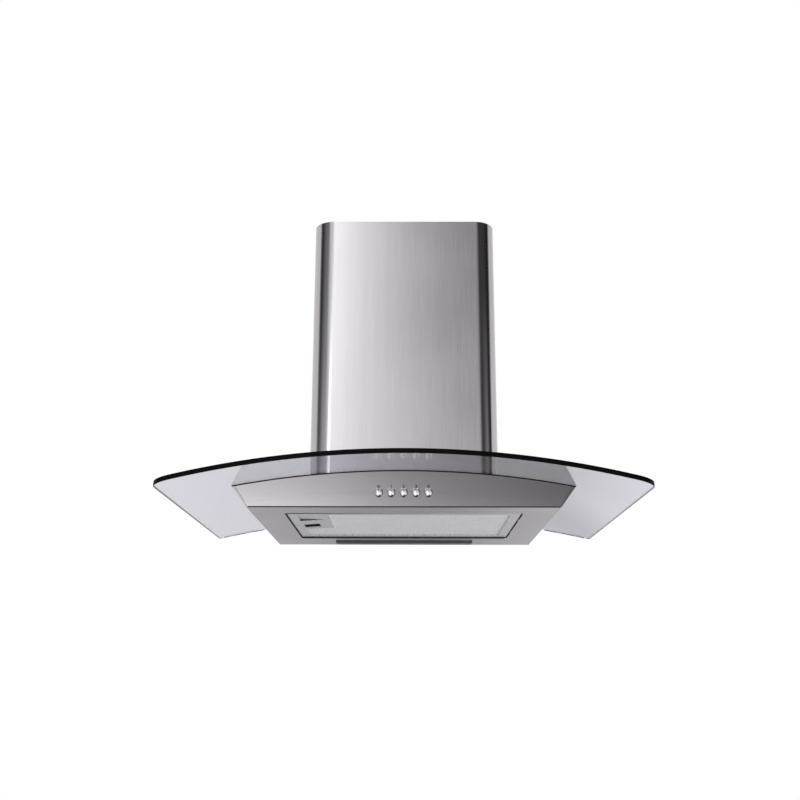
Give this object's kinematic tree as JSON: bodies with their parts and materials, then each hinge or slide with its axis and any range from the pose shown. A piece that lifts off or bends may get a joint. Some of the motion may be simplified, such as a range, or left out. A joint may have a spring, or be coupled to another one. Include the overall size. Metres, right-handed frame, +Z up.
{
  "type": "chimney range hood",
  "caption": "wall-mounted kitchen range hood with an arched glass canopy, flared steel body, push-buttons, grease filter, blower and telescopic chimney",
  "frame": {"origin": "the middle of the four wall holes, on the wall's face", "axes": "+X along the hood's width to its right as seen from the front, +Y into the wall, +Z up"},
  "size_m": [0.6, 0.5, 0.45],
  "materials": {
    "stainless": "fine brushed stainless steel",
    "clear_glass": "polished clear tempered glass, dark front edge",
    "black_rubber": "matt black rubber",
    "galvanised": "spangled galvanised steel",
    "zinc_fasteners": "bright zinc plating",
    "polished_steel": "ground steel",
    "filter_aluminium": "rolled and expanded aluminium",
    "button_chrome": "polished chrome",
    "black_plastic": "moulded black plastic",
    "grey_plastic": "moulded grey plastic",
    "motor_paint": "dark motor enamel",
    "lamp_diffuser": "smoked lamp diffuser",
    "white_paint": "white enamel"
  },
  "bodies": {
    "root": {"front_panel": "stainless", "side_panel_right": "stainless", "side_panel_left": "stainless", "underside_plate": "stainless", "lower_chimney": "stainless", "top_plate": "stainless", "rear_panel": "stainless", "glass_canopy": "clear_glass", "glass_gasket": "black_rubber", "glass_pads": "black_rubber", "motor_grommets": "black_rubber", "motor_box": "galvanised", "motor_box_top": "galvanised", "motor_box_back": "galvanised", "splice_plate": "galvanised", "chimney_clips": "galvanised", "switch_bracket": "galvanised", "capacitor_strap": "galvanised", "motor_bracket": "galvanised", "back_screws": "zinc_fasteners", "switch_screws": "zinc_fasteners", "lid_screws": "zinc_fasteners", "clamp_screws": "zinc_fasteners", "clamp_nuts": "zinc_fasteners", "scroll_screws": "zinc_fasteners", "motor_screws": "zinc_fasteners", "chimney_screws": "zinc_fasteners", "damper_pin": "polished_steel", "switch_block": "black_plastic", "outlet_collar": "black_plastic", "terminal_box": "black_plastic", "terminal_box_lid": "black_plastic", "cable_gland": "black_plastic", "scroll_front": "grey_plastic", "scroll_rear": "grey_plastic", "capacitor": "grey_plastic", "motor_housing": "motor_paint", "lamp_lens": "lamp_diffuser", "lamp_housing": "white_paint", "lamp_board": "white_paint"},
    "button_light": {"button_light": "button_chrome"},
    "button_speed_1": {"button_speed_1": "button_chrome"},
    "button_speed_2": {"button_speed_2": "button_chrome"},
    "button_speed_3": {"button_speed_3": "button_chrome"},
    "button_off": {"button_off": "button_chrome"},
    "grease_filter": {"grease_filter_frame": "filter_aluminium", "grease_filter_mesh": "filter_aluminium", "grease_filter_core": "filter_aluminium", "filter_latch_plate": "filter_aluminium"},
    "filter_bolt": {"filter_latch": "black_plastic"},
    "telescopic_cover": {"upper_chimney": "stainless", "chimney_bracket": "galvanised", "bracket_screws": "zinc_fasteners"},
    "blower_wheel": {"impeller_disc": "black_plastic", "impeller_front": "black_plastic", "impeller_rear": "black_plastic", "motor_shaft": "polished_steel", "shaft_nut": "zinc_fasteners"},
    "front_damper": {"damper_flap_front": "black_plastic"},
    "rear_damper": {"damper_flap_rear": "black_plastic"}
  },
  "joints": [
    {"name": "button_light_press", "type": "slide", "parent": "root", "child": "button_light", "axis": [0, 0.8141, 0.5807], "range_m": [0, 0.003], "stiffness_N_per_m": 250, "springref_m": -0.004},
    {"name": "button_speed_1_press", "type": "slide", "parent": "root", "child": "button_speed_1", "axis": [0, 0.8141, 0.5807], "range_m": [0, 0.003], "stiffness_N_per_m": 250, "springref_m": -0.004},
    {"name": "button_speed_2_press", "type": "slide", "parent": "root", "child": "button_speed_2", "axis": [0, 0.8141, 0.5807], "range_m": [0, 0.003], "stiffness_N_per_m": 250, "springref_m": -0.004},
    {"name": "button_speed_3_press", "type": "slide", "parent": "root", "child": "button_speed_3", "axis": [0, 0.8141, 0.5807], "range_m": [0, 0.003], "stiffness_N_per_m": 250, "springref_m": -0.004},
    {"name": "button_off_press", "type": "slide", "parent": "root", "child": "button_off", "axis": [0, 0.8141, 0.5807], "range_m": [0, 0.003], "stiffness_N_per_m": 250, "springref_m": -0.004},
    {"name": "filter_swing", "type": "hinge", "parent": "root", "child": "grease_filter", "pos_m": [0.1581, -0.2, -0.1513], "axis": [0, -1, 0], "range_deg": [0, 75]},
    {"name": "filter_latch_slide", "type": "slide", "parent": "grease_filter", "child": "filter_bolt", "axis": [1, 0, 0], "range_m": [0, 0.005], "stiffness_N_per_m": 300, "springref_m": -0.004},
    {"name": "chimney_telescope", "type": "slide", "parent": "root", "child": "telescopic_cover", "axis": [0, 0, 1], "range_m": [0, 0.28]},
    {"name": "blower_spin", "type": "hinge", "parent": "root", "child": "blower_wheel", "pos_m": [-0.032, -0.122, -0.018], "axis": [0, 1, 0], "continuous": true},
    {"name": "front_damper_swing", "type": "hinge", "parent": "root", "child": "front_damper", "pos_m": [0, -0.122, 0.1109], "axis": [-1, 0, 0], "range_deg": [0, 80]},
    {"name": "rear_damper_swing", "type": "hinge", "parent": "root", "child": "rear_damper", "pos_m": [0, -0.122, 0.1109], "axis": [1, 0, 0], "range_deg": [0, 80]}
  ]
}
